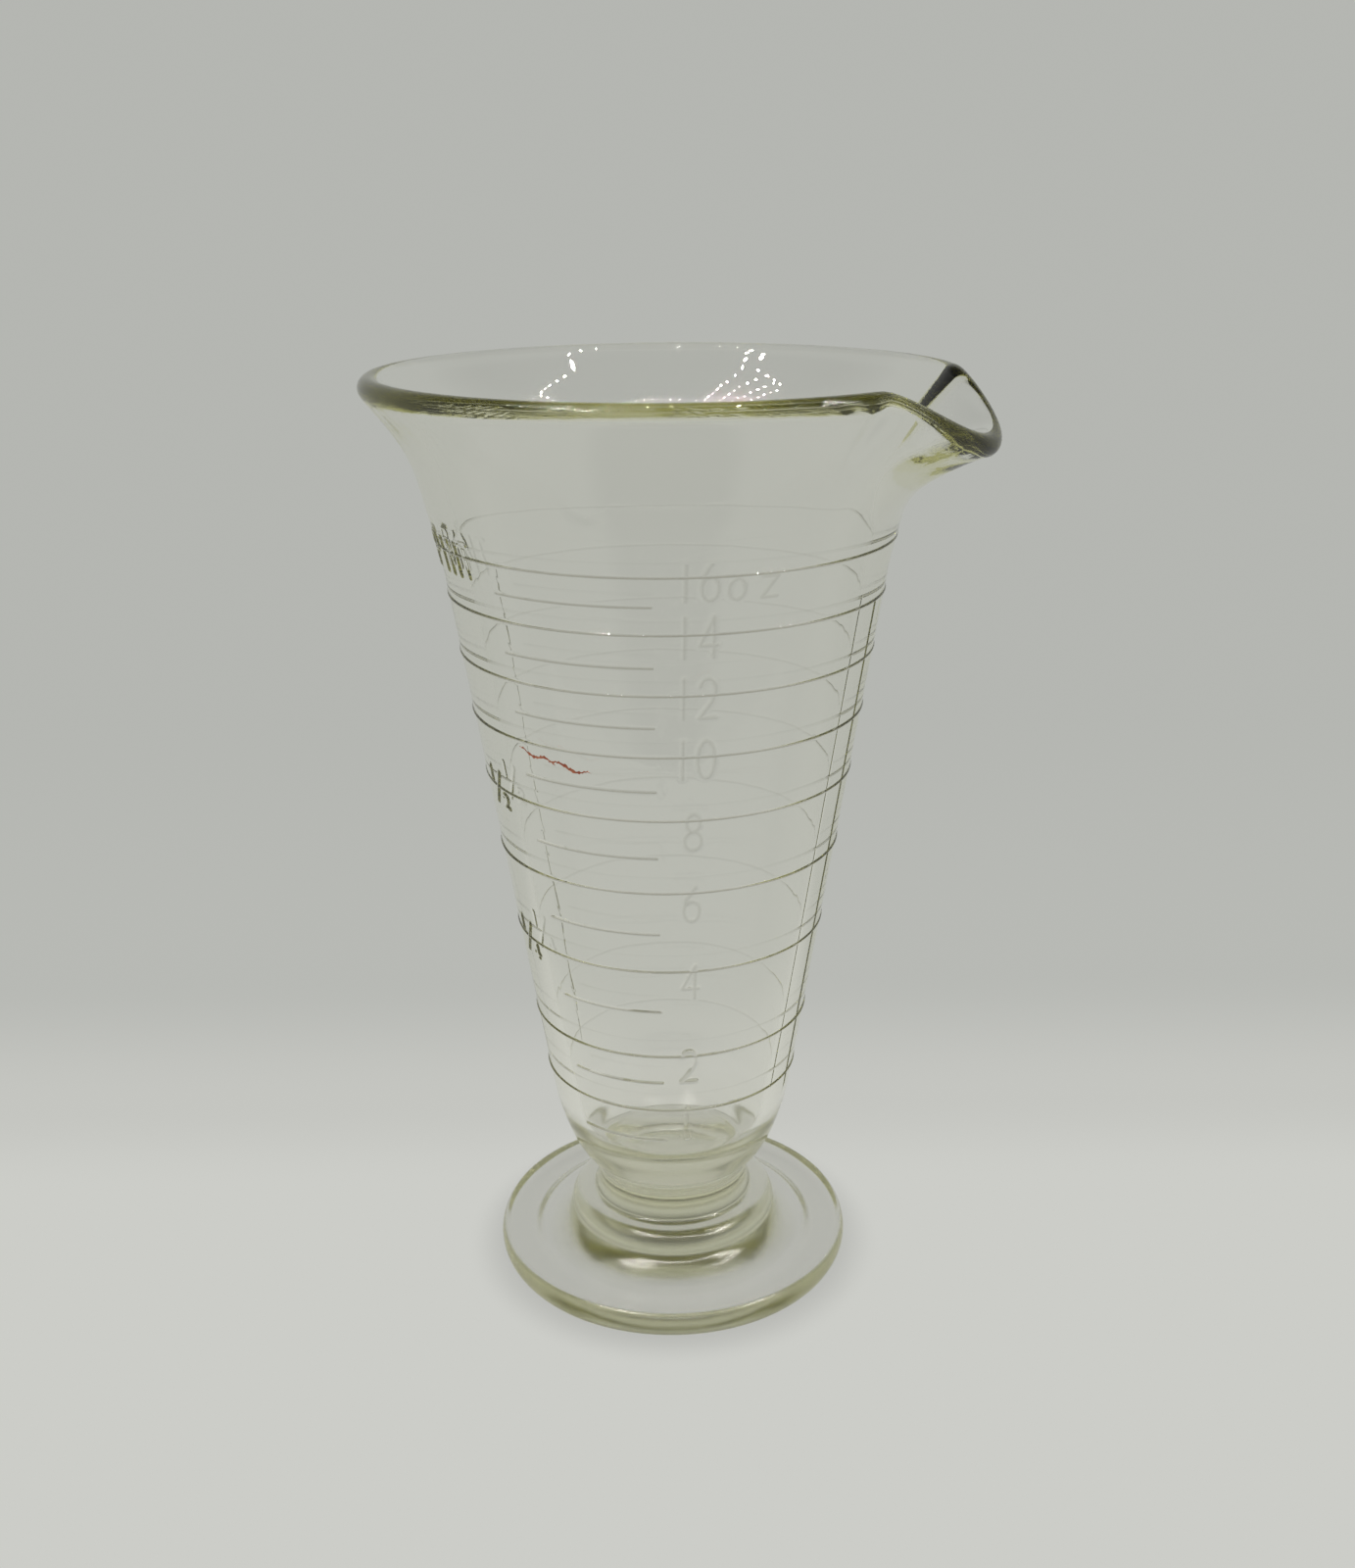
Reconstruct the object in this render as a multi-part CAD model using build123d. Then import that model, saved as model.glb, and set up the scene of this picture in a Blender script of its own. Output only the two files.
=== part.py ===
from build123d import *
from math import atan2, cos, degrees, pi, radians, sin
import os

# Footed conical glass measure, one US pint, with a flared mouth and a pouring spout.
# The real object is one pressed piece of glass. Its natural regions (foot, collar, waist, bowl,
# wall, flare, rim, spout) and its raised graduations are separate solids that meet face to face.
# Units are millimetres. +Z is up, the origin is the centre of the ring that it stands on,
# and +X points along the spout. Azimuths are in degrees round from the spout.

# ---- foot, collar and waist -------------------------------------------------------------
FOOT_RADIUS = 41.4          # widest, half way up the rounded edge
FOOT_TOP_RADIUS = 40.7      # where the rounded edge meets the flat top
FOOT_BASE_RADIUS = 40.2     # where the rounded edge meets the table
FOOT_THICKNESS = 6.0
RECESS_RADIUS = 34.2        # shallow recess underneath, so that only a ring touches the table
RECESS_SLOPE = 3.8          # width of its gently sloping edge
RECESS_DEPTH = 1.0
COLLAR_RADIUS = 24.2        # widest, on the round band above the foot
COLLAR_ROUND = 4.0          # radius of the band as seen in section
COLLAR_TOP = 15.0
COLLAR_DROP = 0.4           # the round band ends this far below the waist
NECK_RADIUS = 23.95         # hollow neck that spreads from the band down to the foot
NECK_SPREAD = 8.4           # how far the neck spreads where it meets the foot
WAIST_RADIUS = 17.6
WAIST_END_RADIUS = 18.4     # the waist spreads a little at both ends
WAIST_TOP = 24.2

# ---- cup ----------------------------------------------------------------------------------
WALL = 4.8                  # wall thickness, square to the surface
BOWL_TOP = 44.0             # the rounded bottom ends here and the straight cone begins
BOWL_TOP_RADIUS = 27.6
OUTER_BOWL = ((22.4, 28.2), (25.6, 36.0))                           # (radius, height)
INNER_BOWL = ((20.9, 36.8), (16.2, 31.0), (11.4, 27.6), (7.6, 24.6))
CONE_TOP = 164.0            # the cone ends here and the flare begins
CONE_TOP_RADIUS = 46.4
INSIDE_BOTTOM = 23.8        # lowest point of the inside, on the axis
OUTER_FLARE = ((49.9, 180.0), (53.9, 192.0))
INNER_FLARE = ((45.1, 180.9), (49.3, 194.0))
RIM_CENTRE = (59.4, 203.6)  # radius and height of the middle of the rounded rim
FLARE_LEAN = 36.0           # degrees from upright that the wall leans at the rim
BEAD_BOTTOM = 202.0         # the rim is a node of its own above this height

# ---- spout --------------------------------------------------------------------------------
SPOUT_BOTTOM = 176.0
SPOUT_HALF_ANGLE = 26.0
SPOUT_TIP = (67.0, 193.8)   # radius and height of the middle of the rounded edge at the tip
SPOUT_LEAN = 74.0           # degrees from upright that the wall leans at the tip
SPOUT_SECTIONS = 15
SPOUT_FADE = 1.6            # how softly the spout's pull dies out towards its sides
SPOUT_SHARES = (0.08, 0.2, 0.45, 0.75)     # heights up the flare where its section is pulled out
SPOUT_OUTER = ((49.7, 178.6), (50.7, 180.3), (54.0, 184.2), (60.2, 188.2))
SPOUT_INNER = ((44.9, 179.6), (46.0, 182.4), (49.6, 188.2), (57.0, 192.6))

# ---- raised graduations -------------------------------------------------------------------
RING_HEIGHTS = {            # fluid ounces: height of the ring above the table
    1: 50.3, 2: 64.8, 4: 86.6, 6: 105.7, 8: 122.4, 10: 136.4, 12: 149.4, 14: 161.8, 16: 173.2,
}
LINE_HEIGHTS = {            # tenths of a fluid ounce: height of the short line
    5: 42.2, 15: 57.8, 30: 76.5, 50: 95.9, 70: 113.9, 90: 128.9, 110: 142.7, 130: 155.2, 150: 167.4,
}
LINE_START = -110.8
LINE_ARC = 40.8
RIDGE_RADIUS = 0.38         # half-round ridge of a ring or a line
RIDGE_SINK = 0.06           # how far its centre lies inside the wall
LETTER_RELIEF = 0.28
STROKE = 0.75
DIGIT_HEIGHT = 8.0
DIGIT_WIDTH = 3.4
DIGIT_PITCH = 4.6
OUNCE_COLUMN = -59.5
NUMERAL_DROPS = {1: 7.7, 2: 6.6, 4: 6.6, 6: 6.6, 8: 6.6}   # from the ring down to the numeral's foot
CENTRED_DROP = 4.6          # the same for the larger numerals, which their ring crosses
OZ_COLUMN = -46.6
OZ_WIDTH, OZ_PITCH, OZ_HEIGHT = 3.2, 6.6, 4.0
PINT_COLUMN = -130.0
PINT_BOTTOM = 169.0
PINT_WIDTH, PINT_PITCH, PINT_HEIGHT = 3.4, 5.2, 6.6
FRACTION_DROP = 4.0         # from the ring down to the fraction's foot
FRACTION_DIGIT = (2.4, 3.0)                 # width and height
FRACTION_TOP_AT = (-4.0, 5.0)               # upper figure's left and bottom, from the fraction's foot
FRACTION_BAR_AT, FRACTION_BAR = (-2.0, 0.2), (4.0, 7.6)
FRACTION_LOWER_AT = (1.6, 0.0)
SEAM_WIDTH = 0.5
SEAM_RELIEF = 0.2
SEAM_MARGIN = 2.0           # the seams stop short of the ends of the cone
SEAM_FOOT_START = NECK_RADIUS + NECK_SPREAD + 0.5
SEAM_FOOT_END = FOOT_TOP_RADIUS - 0.5
BITE = 1.0                  # how deep cutting shapes reach into the glass
LAYER_HEIGHTS = (40.5, BOWL_TOP, CONE_TOP, 170.0, 179.0)
LETTERED_CONE = 1.25        # the bowl narrows this much faster than the cone just below it
BIG = 400.0                 # larger than the whole measure


# ---- sections -----------------------------------------------------------------------------
def lean_vectors(lean):
    """Unit vectors along a leaning wall and out of its outer side, as (radius, height)."""
    a = radians(lean)
    return (sin(a), cos(a)), (cos(a), -sin(a))


def shifted(point, direction, distance):
    return (point[0] + direction[0] * distance, point[1] + direction[1] * distance)


def on_section(points):
    """(radius, height) pairs as points of the XZ plane."""
    return [Vector(radius, 0, height) for radius, height in points]


CONE_LEAN = degrees(atan2(CONE_TOP_RADIUS - BOWL_TOP_RADIUS, CONE_TOP - BOWL_TOP))
CONE_ALONG, CONE_OUT = lean_vectors(CONE_LEAN)
INNER_CONE_TOP = shifted((CONE_TOP_RADIUS, CONE_TOP), CONE_OUT, -WALL)
INNER_BOWL_TOP = shifted((BOWL_TOP_RADIUS, BOWL_TOP), CONE_OUT, -WALL)


def rim_points(centre, lean):
    """Outer tangent point, end point and inner tangent point of the rounded rim."""
    along, out = lean_vectors(lean)
    half = WALL / 2
    return shifted(centre, out, half), shifted(centre, along, half), shifted(centre, out, -half)


def flare_curves():
    """Outer line, rounded rim and inner line of the flare."""
    outer_end, tip, inner_end = rim_points(RIM_CENTRE, FLARE_LEAN)
    tangents = on_section([CONE_ALONG, lean_vectors(FLARE_LEAN)[0]])
    outer = Spline(on_section([(CONE_TOP_RADIUS, CONE_TOP), *OUTER_FLARE, outer_end]), tangents=tangents)
    inner = Spline(on_section([INNER_CONE_TOP, *INNER_FLARE, inner_end]), tangents=tangents)
    return outer, ThreePointArc(*on_section([outer_end, tip, inner_end])), inner


def collar_curves(start):
    """Hollow neck, round band and shoulder, from the foot's top up to the waist."""
    middle = (COLLAR_RADIUS - COLLAR_ROUND, COLLAR_TOP - COLLAR_ROUND - COLLAR_DROP)
    lower, outward, upper = (
        (middle[0] + COLLAR_ROUND * cos(radians(a)), middle[1] + COLLAR_ROUND * sin(radians(a)))
        for a in (6.0, 43.0, 80.0)
    )
    neck_top = (NECK_RADIUS, lower[1] - 0.15)
    neck = Spline(
        [start, *on_section([(NECK_RADIUS + 3.2, FOOT_THICKNESS + 1.3), neck_top])],
        tangents=on_section([(-1.0, 0.0), (-0.7, 1.0)]),
    )
    step = Line(*on_section([neck_top, lower]))
    band = ThreePointArc(*on_section([lower, outward, upper]))
    shoulder = Line(*on_section([upper, (WAIST_END_RADIUS, COLLAR_TOP)]))
    return [neck, step, band, shoulder]


def underside_curves():
    """From the axis out over the shallow recess to the ring that touches the table."""
    roof_end = (RECESS_RADIUS - RECESS_SLOPE, RECESS_DEPTH)
    roof = Line(*on_section([(0, RECESS_DEPTH), roof_end]))
    slope = Spline(on_section([roof_end, (RECESS_RADIUS, 0)]), tangents=on_section([(1.0, 0.0)] * 2))
    rest = Line(*on_section([(RECESS_RADIUS, 0), (FOOT_BASE_RADIUS, 0)]))
    return [roof, slope, rest]


def glass_section():
    """Half section of the whole glass, without the spout and the graduations."""
    edge = ThreePointArc(*on_section([
        (FOOT_BASE_RADIUS, 0), (FOOT_RADIUS, FOOT_THICKNESS / 2), (FOOT_TOP_RADIUS, FOOT_THICKNESS),
    ]))
    foot_top = Line(edge @ 1, Vector(NECK_RADIUS + NECK_SPREAD, 0, FOOT_THICKNESS))
    collar = collar_curves(foot_top @ 1)
    waist = ThreePointArc(collar[-1] @ 1, *on_section([
        (WAIST_RADIUS, (COLLAR_TOP + WAIST_TOP) / 2), (WAIST_END_RADIUS, WAIST_TOP),
    ]))
    bowl = Spline(
        [waist @ 1, *on_section([*OUTER_BOWL, (BOWL_TOP_RADIUS, BOWL_TOP)])],
        tangents=on_section([(1.0, 0.25), CONE_ALONG]),
    )
    cone = Line(bowl @ 1, Vector(CONE_TOP_RADIUS, 0, CONE_TOP))
    inner_cone = Line(*on_section([INNER_CONE_TOP, INNER_BOWL_TOP]))
    inner_bowl = Spline(
        on_section([INNER_BOWL_TOP, *INNER_BOWL, (0, INSIDE_BOTTOM)]),
        tangents=on_section([(-CONE_ALONG[0], -CONE_ALONG[1]), (-1.0, 0.0)]),
    )
    axis = Line(inner_bowl @ 1, Vector(0, 0, RECESS_DEPTH))
    return make_face([
        *underside_curves(), edge, foot_top, *collar, waist, bowl, cone,
        *flare_curves(), inner_cone, inner_bowl, axis,
    ])


# ---- spout --------------------------------------------------------------------------------
def slab(low, high):
    """Everything between two heights."""
    return Pos(0, 0, low) * Cylinder(BIG, high - low, align=(Align.CENTER, Align.CENTER, Align.MIN))


def spout_wedge():
    """The sector that the spout takes out of the flare and the rim."""
    corners = [Vector(0, 0, SPOUT_BOTTOM)]
    for angle in (-SPOUT_HALF_ANGLE, SPOUT_HALF_ANGLE):
        corners.append(Vector(BIG * cos(radians(angle)), BIG * sin(radians(angle)), SPOUT_BOTTOM))
    return extrude(make_face(Polyline(corners, close=True)), BIG, dir=(0, 0, 1))


def at_height(curve, height):
    """The curve's parameter at a height. The curve has to rise all the way."""
    low, high = 0.0, 1.0
    for _ in range(40):
        middle = (low + high) / 2
        if (curve @ middle).Z < height:
            low = middle
        else:
            high = middle
    return (low + high) / 2


def point_at_height(curve, height):
    point = curve @ at_height(curve, height)
    return (point.X, point.Z)


def direction_at_height(curve, height):
    direction = curve % at_height(curve, height)
    return (direction.X, direction.Z)


def blend(a, b, share):
    return tuple(p + (q - p) * share for p, q in zip(a, b))


def pulled_line(curve, targets, end, lean, pull):
    """One side of the spout's section: the flare's own line, pulled towards the spout's."""
    points = [point_at_height(curve, SPOUT_BOTTOM)]
    for share, target in zip(SPOUT_SHARES, targets):
        height = SPOUT_BOTTOM + share * ((curve @ 1).Z - SPOUT_BOTTOM)
        points.append(blend(point_at_height(curve, height), target, pull))
    tangents = [direction_at_height(curve, SPOUT_BOTTOM), lean_vectors(lean)[0]]
    return Spline(on_section([*points, end]), tangents=on_section(tangents))


def spout_section(angle):
    """Closed section of the spout's wall in the upright plane at an azimuth."""
    flare_out, _, flare_in = flare_curves()
    pull = max(0.0, cos(pi / 2 * angle / SPOUT_HALF_ANGLE)) ** SPOUT_FADE
    lean = FLARE_LEAN + (SPOUT_LEAN - FLARE_LEAN) * pull
    outer_end, tip, inner_end = rim_points(blend(RIM_CENTRE, SPOUT_TIP, pull), lean)
    outer = pulled_line(flare_out, SPOUT_OUTER, outer_end, lean, pull)
    inner = pulled_line(flare_in, SPOUT_INNER, inner_end, lean, pull)
    rim = ThreePointArc(*on_section([outer_end, tip, inner_end]))
    return Wire([Line(inner @ 0, outer @ 0), outer, rim, inner]).rotate(Axis.Z, angle)


def pouring_spout():
    step = 2 * SPOUT_HALF_ANGLE / (SPOUT_SECTIONS - 1)
    return Solid.make_loft([spout_section(-SPOUT_HALF_ANGLE + step * n) for n in range(SPOUT_SECTIONS)])


# ---- raised graduations -------------------------------------------------------------------
def revolved(face, arc=360.0, start=0.0):
    """A section turned about the upright axis."""
    return revolve(face, Axis.Z, arc).rotate(Axis.Z, start)


def outermost(shape):
    """The face of a section that lies furthest from the axis."""
    return max(shape.faces(), key=lambda face: face.center().X)


def outer_radius(height):
    """Outer radius of the wall from the top of the bowl to the lower part of the flare."""
    if height > CONE_TOP:
        return point_at_height(flare_curves()[0], height)[0]
    fall = (CONE_TOP_RADIUS - BOWL_TOP_RADIUS) / (CONE_TOP - BOWL_TOP)
    if height < BOWL_TOP:
        fall *= LETTERED_CONE
    return BOWL_TOP_RADIUS + (height - BOWL_TOP) * fall


def ridge(height, section, arc=360.0, start=0.0):
    """Half-round ridge round the outside of the wall."""
    middle = Vector(outer_radius(height) - RIDGE_SINK, 0, height)
    disc = make_face([Edge.make_circle(RIDGE_RADIUS, Plane(middle, z_dir=(0, 1, 0)))])
    return revolved(outermost(disc - section), arc, start)


def bow(x, y, radius_x, radius_y, start, end, steps):
    """Points along part of an ellipse, from one angle to another."""
    points = []
    for n in range(steps + 1):
        a = radians(start + (end - start) * n / steps)
        points.append((x + radius_x * cos(a), y + radius_y * sin(a)))
    return points


GLYPHS = {                  # strokes in a box one unit wide and one unit high
    "0": [bow(0.5, 0.5, 0.5, 0.5, 90, 450, 16)],
    "1": [[(0.5, 0.0), (0.5, 1.0)]],
    "2": [bow(0.5, 0.72, 0.46, 0.28, 160, -20, 8) + [(0.75, 0.42), (0.03, 0.0), (1.0, 0.0)]],
    "4": [[(0.78, 0.0), (0.78, 1.0), (0.0, 0.3), (1.0, 0.3)]],
    "6": [bow(0.5, 0.29, 0.48, 0.29, 160, 520, 14) + [(0.16, 0.62), (0.72, 1.0)]],
    "8": [bow(0.5, 0.76, 0.4, 0.24, -90, 270, 14), bow(0.5, 0.26, 0.5, 0.26, 90, 450, 14)],
    "O": [bow(0.5, 0.5, 0.5, 0.5, 90, 450, 16)],
    "Z": [[(0.0, 1.0), (1.0, 1.0), (0.0, 0.0), (1.0, 0.0)]],
    "P": [[(0.0, 0.0), (0.0, 1.0), (0.6, 1.0)] + bow(0.6, 0.75, 0.4, 0.25, 90, -90, 8) + [(0.0, 0.5)]],
    "I": [[(0.5, 0.0), (0.5, 1.0)]],
    "N": [[(0.0, 0.0), (0.0, 1.0), (1.0, 0.0), (1.0, 1.0)]],
    "T": [[(0.0, 1.0), (1.0, 1.0)], [(0.5, 1.0), (0.5, 0.0)]],
    "/": [[(0.0, 0.0), (1.0, 1.0)]],
}


def outline_of(characters):
    """Flat outline of characters, each given as (name, left, bottom, width, height)."""
    outline = Sketch()
    for name, left, bottom, width, height in characters:
        for points in GLYPHS[name]:
            placed = [Vector(left + x * width, bottom + y * height, 0) for x, y in points]
            for a, b in zip(placed[:-1], placed[1:]):
                run = b - a
                bar = Rectangle(run.length + STROKE, STROKE)
                outline += Pos((a + b) / 2) * Rot(0, 0, degrees(atan2(run.Y, run.X))) * bar
    return outline


def centred_row(text, width, pitch, bottom, height):
    """Characters side by side about the middle of a column."""
    start = -pitch * (len(text) - 1) / 2 - width / 2
    return [(name, start + n * pitch, bottom, width, height) for n, name in enumerate(text)]


def raised_mark(characters, column, layer, ring):
    """Characters standing on the wall at an azimuth, with the ring that crosses them cut out."""
    facing = Plane(origin=(0, 0, 0), x_dir=(0, 1, 0), z_dir=(1, 0, 0))
    block = extrude(facing * outline_of(characters), BIG).rotate(Axis.Z, column)
    return (block & layer) - ring


def relief_layer(section):
    """Thin layer on the outside of the cup that the raised characters are cut from."""
    outer, inner = [], []
    for height in LAYER_HEIGHTS:
        along = CONE_ALONG if height <= CONE_TOP else direction_at_height(flare_curves()[0], height)
        out = (along[1], -along[0])
        outer.append(shifted((outer_radius(height), height), out, LETTER_RELIEF))
        inner.append(shifted((outer_radius(height), height), out, -WALL / 2))
    band = make_face(Polyline(on_section(outer + inner[::-1]), close=True))
    return revolved(outermost(band - section))


def numeral(ounces, layer, ring):
    bottom = RING_HEIGHTS[ounces] - NUMERAL_DROPS.get(ounces, CENTRED_DROP)
    row = centred_row(str(ounces), DIGIT_WIDTH, DIGIT_PITCH, bottom, DIGIT_HEIGHT)
    return raised_mark(row, OUNCE_COLUMN, layer, ring)


def fraction(lower, ounces, layer, ring):
    """One over a number, with a slanting bar, at the pint column."""
    bottom = RING_HEIGHTS[ounces] - FRACTION_DROP
    parts = (("1", FRACTION_TOP_AT, FRACTION_DIGIT), ("/", FRACTION_BAR_AT, FRACTION_BAR),
             (lower, FRACTION_LOWER_AT, FRACTION_DIGIT))
    row = [(name, left, bottom + up, *size) for name, (left, up), size in parts]
    return raised_mark(row, PINT_COLUMN, layer, ring)


def mould_seam(angle, glass, rings):
    """Fine line where the halves of the mould met, up the cone and across the foot's top."""
    low, high = BOWL_TOP + SEAM_MARGIN, CONE_TOP - SEAM_MARGIN
    near, far = outer_radius(low), outer_radius(high)
    up_cone = [(near - BITE, low), (near + SEAM_RELIEF, low), (far + SEAM_RELIEF, high), (far - BITE, high)]
    top = FOOT_THICKNESS + SEAM_RELIEF
    across_foot = [(SEAM_FOOT_START, FOOT_THICKNESS - BITE), (SEAM_FOOT_END, FOOT_THICKNESS - BITE),
                   (SEAM_FOOT_END, top), (SEAM_FOOT_START, top)]
    seam = None
    for corners in (up_cone, across_foot):
        plate = extrude(make_face(Polyline(on_section(corners), close=True)), SEAM_WIDTH / 2, both=True)
        line = plate.rotate(Axis.Z, angle) - glass
        seam = line if seam is None else seam + line
    for ring in rings:
        seam = seam - ring
    return seam


# ---- the nodes ----------------------------------------------------------------------------
def glass_regions(glass):
    wedge = spout_wedge()
    return {
        "foot_rest_ring": glass & slab(-BITE, RECESS_DEPTH),
        "foot_disc": glass & slab(RECESS_DEPTH, FOOT_THICKNESS),
        "collar": glass & slab(FOOT_THICKNESS, COLLAR_TOP),
        "waist": glass & slab(COLLAR_TOP, WAIST_TOP),
        "cup_bottom": glass & slab(WAIST_TOP, BOWL_TOP),
        "cup_wall": glass & slab(BOWL_TOP, CONE_TOP),
        "flared_lip": (glass & slab(CONE_TOP, BEAD_BOTTOM)) - wedge,
        "rim_bead": (glass & slab(BEAD_BOTTOM, BIG)) - wedge,
        "pouring_spout": pouring_spout(),
    }


def build_nodes():
    section = glass_section()
    glass = revolved(section)
    layer = relief_layer(section)
    nodes = glass_regions(glass)
    rings = {ounces: ridge(height, section) for ounces, height in RING_HEIGHTS.items()}
    for ounces, ring in rings.items():
        nodes[f"ounce_ring_{ounces:02d}"] = ring
        nodes[f"numeral_{ounces:02d}"] = numeral(ounces, layer, ring)
    for tenths, height in LINE_HEIGHTS.items():
        nodes[f"short_line_{tenths:03d}"] = ridge(height, section, LINE_ARC, LINE_START)
    oz = centred_row("OZ", OZ_WIDTH, OZ_PITCH, RING_HEIGHTS[16] - CENTRED_DROP, OZ_HEIGHT)
    nodes["ounce_letters"] = raised_mark(oz, OZ_COLUMN, layer, rings[16])
    pint = centred_row("PINT", PINT_WIDTH, PINT_PITCH, PINT_BOTTOM, PINT_HEIGHT)
    nodes["pint_letters"] = raised_mark(pint, PINT_COLUMN, layer, rings[16])
    nodes["half_pint_mark"] = fraction("2", 8, layer, rings[8])
    nodes["quarter_pint_mark"] = fraction("4", 4, layer, rings[4])
    nodes["mould_seam_spout_side"] = mould_seam(0, glass, rings.values())
    nodes["mould_seam_far_side"] = mould_seam(180, glass, rings.values())
    return nodes


def main():
    os.makedirs("parts", exist_ok=True)
    for name, shape in build_nodes().items():
        solids = shape.solids()
        kept = Compound(children=list(solids)) if len(solids) > 1 else solids[0]
        export_step(kept, f"parts/{name}.step")
        print(name, len(solids), round(sum(solid.volume for solid in solids), 2))


if __name__ == "__main__":
    main()
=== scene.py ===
import math
import random

import bpy
import numpy as np
from mathutils import Matrix, Vector


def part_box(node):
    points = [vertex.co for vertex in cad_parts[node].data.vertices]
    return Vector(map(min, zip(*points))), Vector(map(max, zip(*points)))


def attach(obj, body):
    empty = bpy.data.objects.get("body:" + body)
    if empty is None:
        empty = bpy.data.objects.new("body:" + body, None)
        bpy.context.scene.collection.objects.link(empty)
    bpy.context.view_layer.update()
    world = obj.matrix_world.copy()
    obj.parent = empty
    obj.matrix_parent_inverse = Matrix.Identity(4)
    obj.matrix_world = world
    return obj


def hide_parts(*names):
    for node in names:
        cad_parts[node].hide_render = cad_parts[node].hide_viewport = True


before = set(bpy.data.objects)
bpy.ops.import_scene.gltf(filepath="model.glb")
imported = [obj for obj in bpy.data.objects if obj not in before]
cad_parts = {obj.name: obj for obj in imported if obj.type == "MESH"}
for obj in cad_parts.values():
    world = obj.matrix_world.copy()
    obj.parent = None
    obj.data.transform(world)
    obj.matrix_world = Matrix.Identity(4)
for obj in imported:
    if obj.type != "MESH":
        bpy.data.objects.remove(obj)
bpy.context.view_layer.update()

# The real measure is one pressed piece of glass, and light bends at every face of a solid, so its
# CAD regions and raised marks are replaced here by one closed skin. Lengths are in millimetres
# until the mesh is made, because the graduations are laid out in them.
MM = 0.001


def reach(node):
    """Largest distance of a node from the axis, across the spout, in millimetres."""
    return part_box(node)[1][1] / MM


def heights(node):
    low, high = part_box(node)
    return low[2] / MM, high[2] / MM


def middle_height(node):
    return sum(heights(node)) / 2


# ---- foot, collar and waist --------------------------------------------------------------------
FOOT_RADIUS = reach("foot_disc")
FOOT_TOP_RADIUS = FOOT_RADIUS - 0.7
FOOT_BASE_RADIUS = FOOT_RADIUS - 1.2
RECESS_RADIUS = 34.2
RECESS_SLOPE = 3.8
RECESS_DEPTH, FOOT_TOP = heights("foot_disc")
COLLAR_RADIUS = 24.2                        # widest, on the round band
NECK_RADIUS = COLLAR_RADIUS - 0.25          # hollow neck that spreads down to the foot
NECK_SPREAD = 8.4
BAND_RADIUS = 4.0                           # the collar is round, as seen in section
BAND_START, BAND_END = -6, 78               # degrees above level along the band's outline
COLLAR_TOP, WAIST_TOP = heights("waist")
WAIST_END_RADIUS = reach("waist")
WAIST_RADIUS = WAIST_END_RADIUS - 0.8
# ---- cup ---------------------------------------------------------------------------------------
WALL = 4.8
BOWL_TOP, CONE_TOP = heights("cup_wall")
BOWL_TOP_RADIUS = reach("cup_bottom")
CONE_TOP_RADIUS = reach("cup_wall")
INSIDE_BOTTOM = 23.8
FLARE_LEAN = 36.0
RIM_CENTRE = (59.4, 203.6)
# points on the outlines, as (radius, height)
BOWL_OUTSIDE = [(22.4, 28.2), (25.6, 36.0)]
BOWL_INSIDE = [(20.9, 36.8), (16.2, 31.0), (11.4, 27.6), (7.6, 24.6)]
FLARE_OUTSIDE = [(49.9, 180.0), (53.9, 192.0)]
FLARE_INSIDE = [(45.1, 180.9), (49.3, 194.0)]
# pressed glass is never quite even
OUTSIDE_RIPPLE = 0.04
INSIDE_RIPPLE = 0.07
# ---- spout -------------------------------------------------------------------------------------
SPOUT_BOTTOM = 176.0
SPOUT_HALF_ANGLE = 26.0
SPOUT_TIP = (67.0, 193.8)
SPOUT_LEAN = 74.0
SPOUT_TURN = 23.5           # degrees from the camera's right-hand side round to the spout
SPOUT_SHARES = (0.08, 0.2, 0.45, 0.75)      # of the flare's height, at the points below
SPOUT_OUTSIDE = ((49.7, 178.6), (50.7, 180.3), (54.0, 184.2), (60.2, 188.2))
SPOUT_INSIDE = ((44.9, 179.6), (46.0, 182.4), (49.6, 188.2), (57.0, 192.6))
# ---- raised graduations ------------------------------------------------------------------------
RING_OUNCES = (1, 2, 4, 6, 8, 10, 12, 14, 16)
LINE_TENTHS = (5, 15, 30, 50, 70, 90, 110, 130, 150)        # tenths of an ounce
RINGS = {ounces: middle_height(f"ounce_ring_{ounces:02d}") for ounces in RING_OUNCES}
LINES = [middle_height(f"short_line_{tenths:03d}") for tenths in LINE_TENTHS]
LINE_START, LINE_END = -110.8, -70.0        # degrees round from the spout
RIDGE_RELIEF = 0.30
RIDGE_HALF_WIDTH = 0.36
LETTER_RELIEF = 0.3
STROKE = 0.8
DIGIT_WIDTH, DIGIT_PITCH = 3.4, 4.6
OZ_WIDTH, OZ_PITCH = 3.2, 6.6
PINT_WIDTH, PINT_PITCH = 3.4, 5.2
OUNCE_COLUMN = -59.5
OZ_COLUMN = -46.6
PINT_COLUMN = -130.0
SEAM_RELIEF = 0.16
SEAM_HALF_WIDTH = 0.35
# ---- the skin's grid ---------------------------------------------------------------------------
MARKED_LOW, MARKED_HIGH = 39.0, SPOUT_BOTTOM
MARKED_START, MARKED_END = -152, -38        # side of the wall that carries marks, in degrees
COLUMN_GAP, SPOUT_COLUMN_GAP = 3.0, 1.5     # degrees
LEVEL_GAP = 2.6                             # largest, between rings
FINE_ANGLE, FINE_HEIGHT = 0.47, 0.24        # degrees and millimetres, at strokes and short lines
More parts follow.
